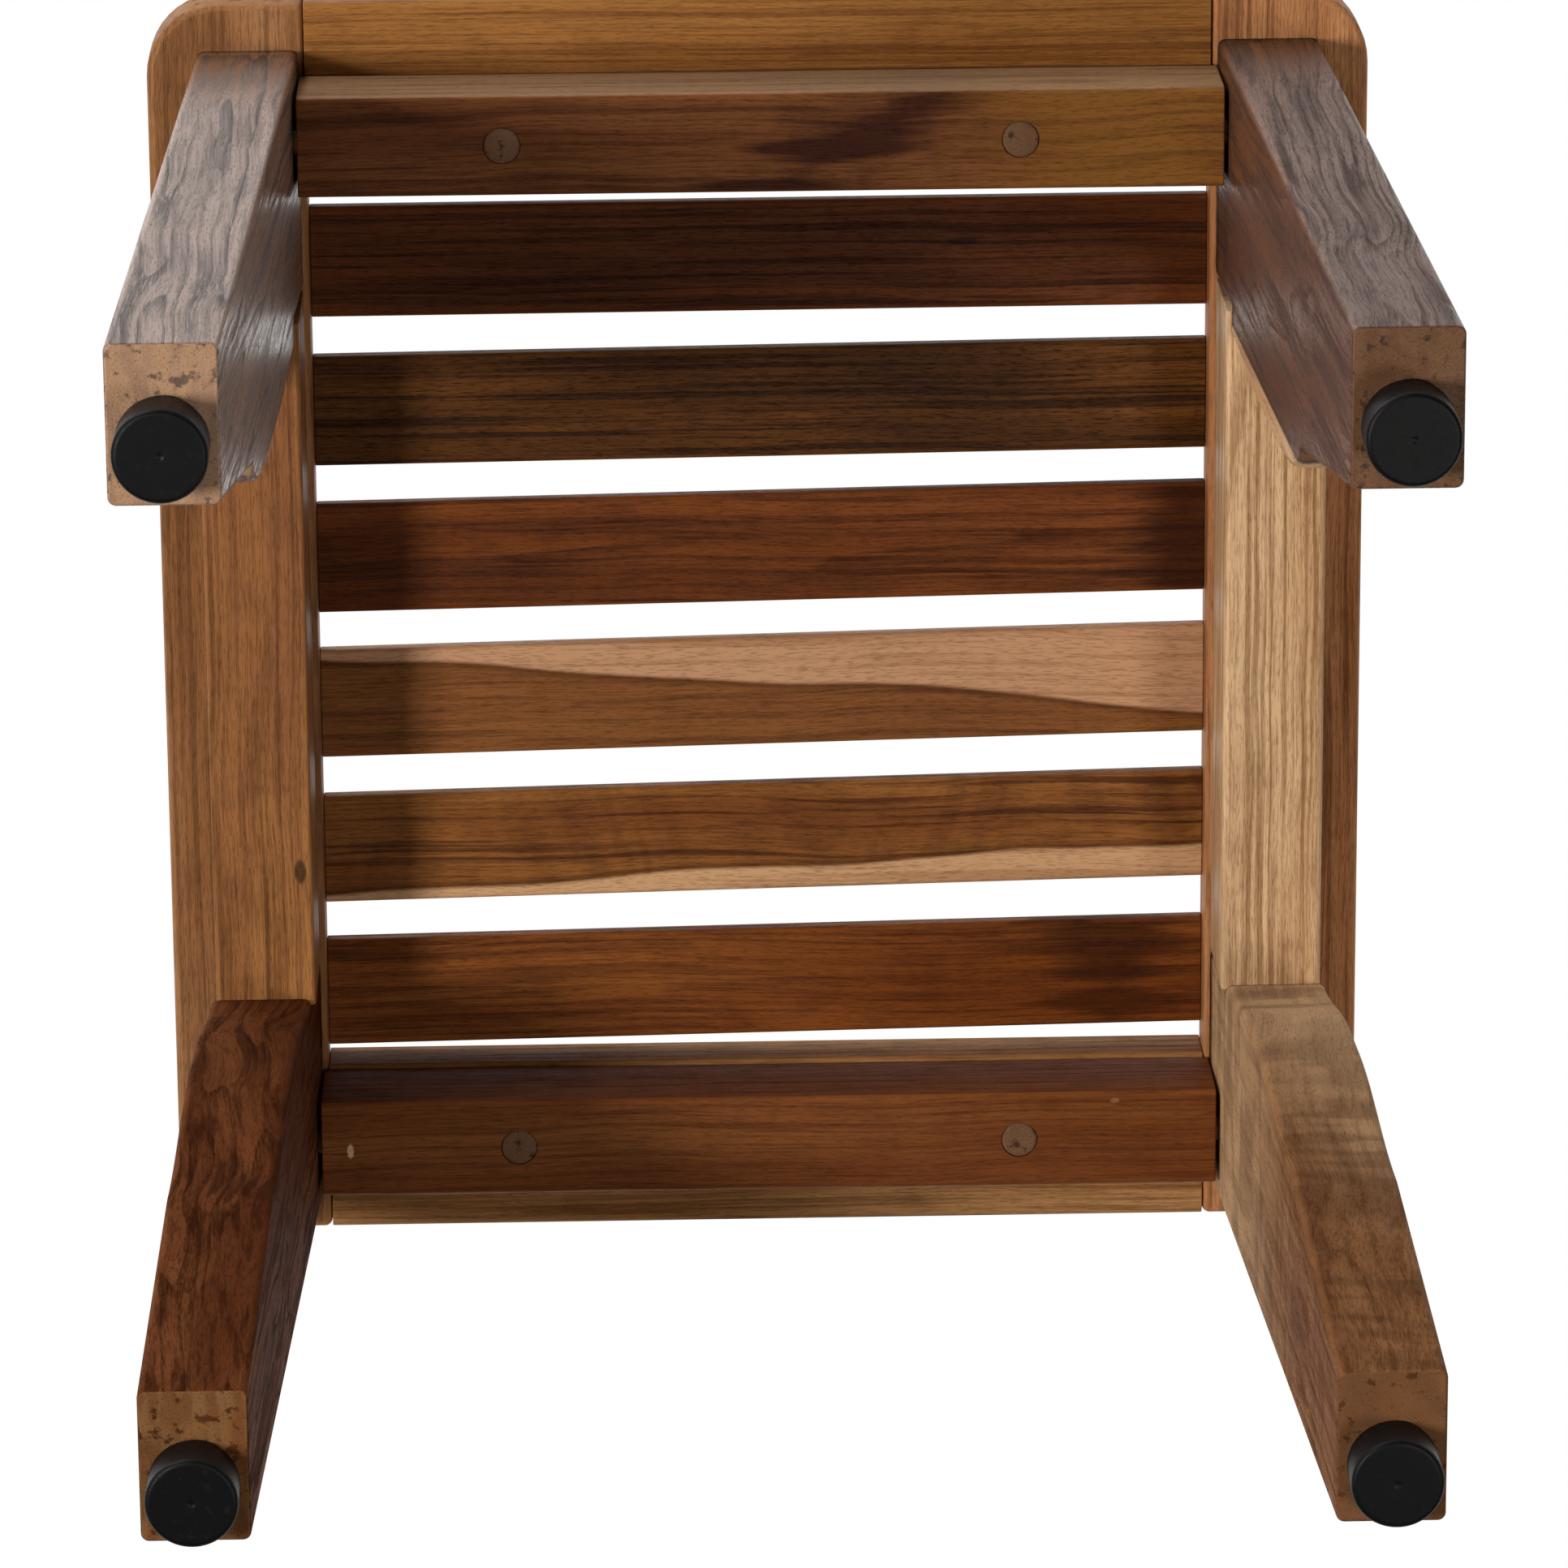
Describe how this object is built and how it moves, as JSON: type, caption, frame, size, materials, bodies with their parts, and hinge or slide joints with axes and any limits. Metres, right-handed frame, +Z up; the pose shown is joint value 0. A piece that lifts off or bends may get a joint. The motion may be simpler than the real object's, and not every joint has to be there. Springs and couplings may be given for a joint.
{
  "type": "slatted shower stool",
  "caption": "Square slatted teak stool for the shower: framed seat, shaped splayed legs tied by aprons, rubber feet.",
  "frame": {"origin": "on the floor under the middle of the seat", "axes": "+X along the slats to the right, +Y to the rear, +Z up"},
  "size_m": [0.4, 0.424, 0.39],
  "materials": {
    "side_board_left_teak": "satin oiled teak",
    "side_board_right_teak": "satin oiled teak",
    "end_board_front_teak": "satin oiled teak",
    "end_board_rear_teak": "satin oiled teak",
    "slat_1_teak": "satin oiled teak",
    "slat_2_teak": "satin oiled teak",
    "slat_3_teak": "satin oiled teak",
    "slat_4_teak": "satin oiled teak",
    "slat_5_teak": "satin oiled teak",
    "slat_6_teak": "satin oiled teak",
    "leg_front_left_teak": "satin oiled teak",
    "leg_front_right_teak": "satin oiled teak",
    "leg_rear_left_teak": "satin oiled teak",
    "leg_rear_right_teak": "satin oiled teak",
    "leg_strip_front_left_teak": "satin oiled teak",
    "leg_strip_front_right_teak": "satin oiled teak",
    "leg_strip_rear_left_teak": "satin oiled teak",
    "leg_strip_rear_right_teak": "satin oiled teak",
    "side_apron_left_teak": "satin oiled teak",
    "side_apron_right_teak": "satin oiled teak",
    "end_apron_front_teak": "satin oiled teak",
    "end_apron_rear_teak": "satin oiled teak",
    "dowel_beech": "fluted beech",
    "plug_teak": "satin oiled teak",
    "zinc_steel": "zinc plated",
    "brass": "machined",
    "black_rubber": "moulded satin black"
  },
  "bodies": {
    "stool": {"side_board_left": "side_board_left_teak", "side_board_right": "side_board_right_teak", "end_board_front": "end_board_front_teak", "end_board_rear": "end_board_rear_teak", "slat_1": "slat_1_teak", "slat_2": "slat_2_teak", "slat_3": "slat_3_teak", "slat_4": "slat_4_teak", "slat_5": "slat_5_teak", "slat_6": "slat_6_teak", "leg_front_left": "leg_front_left_teak", "leg_front_right": "leg_front_right_teak", "leg_rear_left": "leg_rear_left_teak", "leg_rear_right": "leg_rear_right_teak", "leg_strip_front_left": "leg_strip_front_left_teak", "leg_strip_front_right": "leg_strip_front_right_teak", "leg_strip_rear_left": "leg_strip_rear_left_teak", "leg_strip_rear_right": "leg_strip_rear_right_teak", "side_apron_left": "side_apron_left_teak", "side_apron_right": "side_apron_right_teak", "end_apron_front": "end_apron_front_teak", "end_apron_rear": "end_apron_rear_teak", "dowel_front_left_1": "dowel_beech", "dowel_front_left_2": "dowel_beech", "dowel_front_left_3": "dowel_beech", "dowel_front_left_4": "dowel_beech", "dowel_front_right_1": "dowel_beech", "dowel_front_right_2": "dowel_beech", "dowel_front_right_3": "dowel_beech", "dowel_front_right_4": "dowel_beech", "dowel_rear_left_1": "dowel_beech", "dowel_rear_left_2": "dowel_beech", "dowel_rear_left_3": "dowel_beech", "dowel_rear_left_4": "dowel_beech", "dowel_rear_right_1": "dowel_beech", "dowel_rear_right_2": "dowel_beech", "dowel_rear_right_3": "dowel_beech", "dowel_rear_right_4": "dowel_beech", "seat_screw_front_left": "zinc_steel", "seat_screw_front_right": "zinc_steel", "seat_screw_rear_left": "zinc_steel", "seat_screw_rear_right": "zinc_steel", "screw_plug_front_left": "plug_teak", "screw_plug_front_right": "plug_teak", "screw_plug_rear_left": "plug_teak", "screw_plug_rear_right": "plug_teak", "foot_insert_front_left": "brass", "foot_insert_front_right": "brass", "foot_insert_rear_left": "brass", "foot_insert_rear_right": "brass"},
    "foot_front_left": {"foot_pad_front_left": "black_rubber", "foot_stud_front_left": "zinc_steel"},
    "foot_front_right": {"foot_pad_front_right": "black_rubber", "foot_stud_front_right": "zinc_steel"},
    "foot_rear_left": {"foot_pad_rear_left": "black_rubber", "foot_stud_rear_left": "zinc_steel"},
    "foot_rear_right": {"foot_pad_rear_right": "black_rubber", "foot_stud_rear_right": "zinc_steel"}
  },
  "joints": [
    {"name": "foot_front_left_screw", "type": "slide", "parent": "stool", "child": "foot_front_left", "axis": [0, 0, -1], "range_m": [0, 0.006]},
    {"name": "foot_front_right_screw", "type": "slide", "parent": "stool", "child": "foot_front_right", "axis": [0, 0, -1], "range_m": [0, 0.006]},
    {"name": "foot_rear_left_screw", "type": "slide", "parent": "stool", "child": "foot_rear_left", "axis": [0, 0, -1], "range_m": [0, 0.006]},
    {"name": "foot_rear_right_screw", "type": "slide", "parent": "stool", "child": "foot_rear_right", "axis": [0, 0, -1], "range_m": [0, 0.006]}
  ]
}
